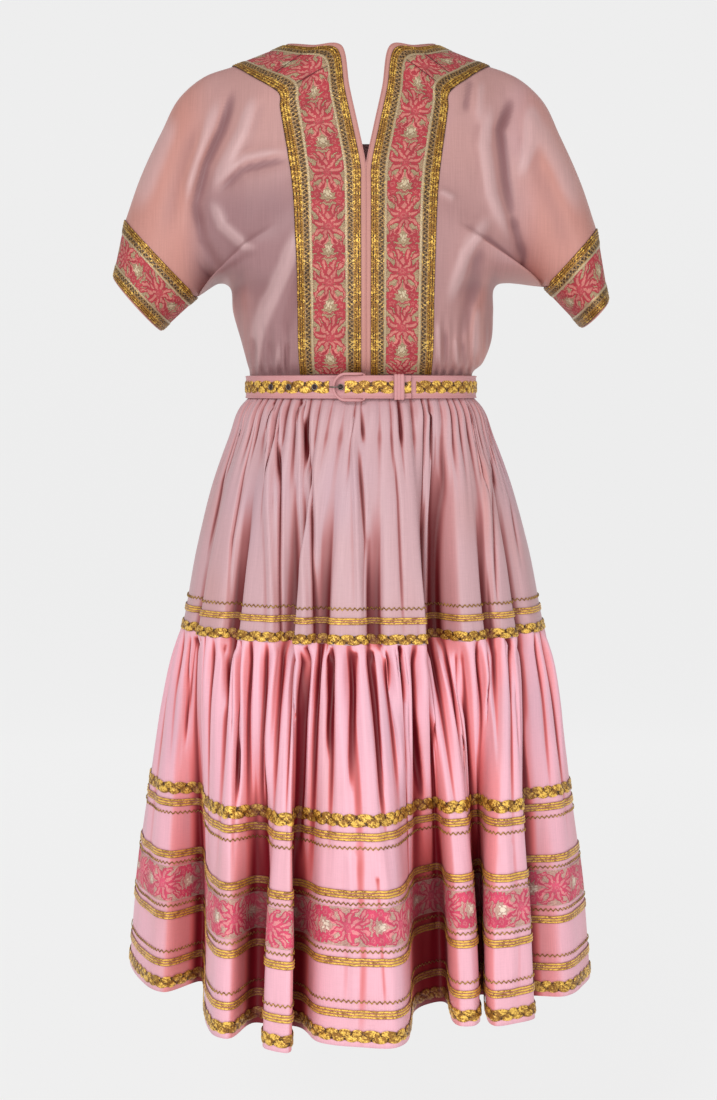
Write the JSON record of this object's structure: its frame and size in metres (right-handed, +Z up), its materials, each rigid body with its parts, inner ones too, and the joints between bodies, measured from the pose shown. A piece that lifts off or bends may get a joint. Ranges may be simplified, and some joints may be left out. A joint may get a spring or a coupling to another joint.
{
  "type": "patio dress",
  "caption": "knee-length two-tier gathered dress with short kimono sleeves, slit neckline, brocade bands, gold braid and a covered belt, filled out with no wearer",
  "frame": {"origin": "where the dress is held: midway between the neck ends of the two shoulder seams", "axes": "+Z up along the dress, -Y the front, +X the wearer's left, which is the right of the picture"},
  "size_m": [0.5694, 0.508, 1.0687],
  "materials": {
    "taffeta_rose": "iridescent taffeta, dusty rose, soft sheen",
    "taffeta_pink": "iridescent taffeta, bright pink, soft sheen",
    "brocade": "woven floral brocade ribbon, coral flowers on a pale gold ground",
    "gold_braid": "metallic gold braid",
    "metal": "darkened nickel"
  },
  "bodies": {
    "root": {"bodice_front_right": "taffeta_rose", "bodice_front_left": "taffeta_rose", "bodice_back": "taffeta_rose", "skirt_upper_front": "taffeta_rose", "skirt_upper_back": "taffeta_rose", "skirt_lower_front": "taffeta_pink", "skirt_lower_back": "taffeta_pink", "zip_tape": "taffeta_rose", "belt": "taffeta_rose", "belt_keeper": "taffeta_rose", "buckle": "taffeta_rose", "brocade_front_right": "brocade", "brocade_front_left": "brocade", "brocade_back": "brocade", "cuff_brocade_right": "brocade", "cuff_brocade_left": "brocade", "skirt_brocade": "brocade", "braid_inner_right": "gold_braid", "braid_inner_left": "gold_braid", "braid_inner_back": "gold_braid", "braid_outer_right": "gold_braid", "braid_outer_left": "gold_braid", "braid_outer_back": "gold_braid", "cuff_braid_top_right": "gold_braid", "cuff_braid_top_left": "gold_braid", "cuff_braid_low_right": "gold_braid", "cuff_braid_low_left": "gold_braid", "belt_braid": "gold_braid", "belt_braid_tab": "gold_braid", "seam_braid": "gold_braid", "border_braid": "gold_braid", "hem_braid": "gold_braid", "prong": "metal", "eyelet_1": "metal", "eyelet_2": "metal", "eyelet_3": "metal", "eyelet_4": "metal"}
  },
  "joints": []
}
